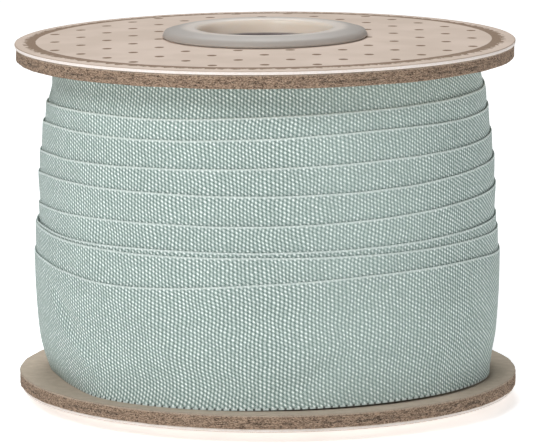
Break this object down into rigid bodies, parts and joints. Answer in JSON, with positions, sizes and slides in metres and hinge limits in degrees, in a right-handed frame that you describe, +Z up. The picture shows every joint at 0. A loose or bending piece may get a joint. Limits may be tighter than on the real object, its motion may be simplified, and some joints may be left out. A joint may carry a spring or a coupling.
{
  "type": "roll of ribbon",
  "caption": "Woven ribbon wound in overlapping turns on a round card reel with a hollow plastic hub.",
  "frame": {"origin": "under the middle of the hub, on the surface that the roll stands on", "axes": "+Z up along the hub, -Y the front, +X to the right of the front"},
  "size_m": [0.0644, 0.064, 0.0478],
  "materials": {
    "woven_ribbon": "plain woven sage green ribbon with a soft sheen",
    "grey_board": "pressed wood-fibre board, raw and matt, its cut edge speckled",
    "printed_card": "wood-fibre card, cream with small brown dots, matt",
    "hub_plastic": "milky, slightly translucent moulded plastic"
  },
  "bodies": {
    "root": {"ribbon": "woven_ribbon", "upper_board": "grey_board", "lower_board": "grey_board", "upper_card": "printed_card", "lower_card": "printed_card", "hub": "hub_plastic"}
  },
  "joints": []
}
